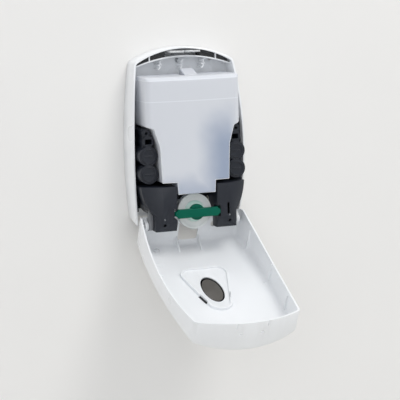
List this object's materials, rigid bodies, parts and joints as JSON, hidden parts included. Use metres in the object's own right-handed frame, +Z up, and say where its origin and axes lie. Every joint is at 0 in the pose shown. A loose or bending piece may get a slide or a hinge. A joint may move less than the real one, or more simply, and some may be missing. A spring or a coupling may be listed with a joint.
{
  "type": "wall mounted soap dispenser",
  "caption": "Touch-free foam soap dispenser for a wall: arched casing with its front cover hanging open over refill bottle, battery tubes and a geared pump drive.",
  "frame": {"origin": "middle of the four wall screw holes, on the wall plane", "axes": "+X to the right, -Y out of the wall towards the user, +Y into the wall, +Z up"},
  "size_m": [0.186, 0.3082, 0.4264],
  "materials": {
    "white_abs": "moulded gloss",
    "white_pp": "moulded satin",
    "frosted_hdpe": "blown, frosted",
    "smoked_trim": "polished dark",
    "clear_pc": "clear moulded",
    "smoked_lens": "smoked, polished",
    "charcoal_abs": "fine spark texture",
    "green_pom": "moulded satin",
    "mint_silicone": "smooth soft",
    "grey_abs": "moulded satin",
    "gear_pom": "natural acetal",
    "steel": "bright zinc",
    "brass_pinion": "machined",
    "board_green": "solder mask",
    "chip_black": "moulded epoxy",
    "cell_jacket": "printed sleeve"
  },
  "bodies": {
    "housing": {"back_shell": "white_abs", "battery_caps_left": "charcoal_abs", "battery_caps_right": "charcoal_abs", "battery_contacts": "steel", "battery_housing_left": "charcoal_abs", "battery_housing_right": "charcoal_abs", "battery_left_lower": "cell_jacket", "battery_left_upper": "cell_jacket", "battery_right_lower": "cell_jacket", "battery_right_upper": "cell_jacket", "board_chips": "chip_black", "carrier_screws": "steel", "carrier_tray": "charcoal_abs", "circuit_board": "board_green", "drive_housing_left": "charcoal_abs", "drive_housing_right": "charcoal_abs", "drive_motor": "steel", "hand_sensor": "chip_black", "hinge_brackets": "grey_abs", "hinge_pins": "steel", "latch_springs": "steel", "latch_trim": "smoked_trim", "motor_bracket": "steel", "nozzle_mesh": "steel", "pump_body": "white_pp", "pump_diaphragm": "mint_silicone", "pump_inlet_valve": "steel", "pump_nozzle": "white_pp", "refill_bottle": "frosted_hdpe", "refill_outlet": "white_pp", "return_springs": "steel", "shaft_bushes": "gear_pom"},
    "cover": {"front_cover": "white_abs", "window_bezel": "white_abs", "window_lens": "smoked_lens", "light_guide": "clear_pc"},
    "latch": {"latch_slider": "clear_pc"},
    "yoke": {"actuator_yoke": "green_pom", "plunger_button": "green_pom"},
    "drive_axle": {"drive_shaft": "steel", "drive_gear": "gear_pom", "rack_pinion_left": "gear_pom", "rack_pinion_right": "gear_pom"},
    "motor_rotor": {"motor_pinion": "brass_pinion"}
  },
  "joints": [
    {"name": "cover_hinge", "type": "hinge", "parent": "housing", "child": "cover", "pos_m": [0, -0.052, -0.133], "axis": [1, 0, 0], "range_deg": [-116.6, 0]},
    {"name": "latch_slide", "type": "slide", "parent": "housing", "child": "latch", "axis": [0, 0, -1], "range_m": [0, 0.0025], "stiffness_N_per_m": 400, "springref_m": -0.002, "deforming": ["latch_springs"]},
    {"name": "yoke_slide", "type": "slide", "parent": "housing", "child": "yoke", "axis": [0, 1, 0], "range_m": [0, 0.008], "stiffness_N_per_m": 300, "springref_m": -0.004, "deforming": ["return_springs", "pump_diaphragm"]},
    {"name": "shaft_spin", "type": "hinge", "parent": "housing", "child": "drive_axle", "pos_m": [0, -0.036, -0.1], "axis": [1, 0, 0], "range_deg": [-3, 80]},
    {"name": "motor_spin", "type": "hinge", "parent": "housing", "child": "motor_rotor", "pos_m": [0, -0.048, -0.08713], "axis": [1, 0, 0], "range_deg": [-212, 8]}
  ],
  "couplings": [
    {"joint": "shaft_spin", "follows": "yoke_slide", "rad_per_m": 166.67},
    {"joint": "motor_spin", "follows": "yoke_slide", "rad_per_m": -444.44}
  ]
}
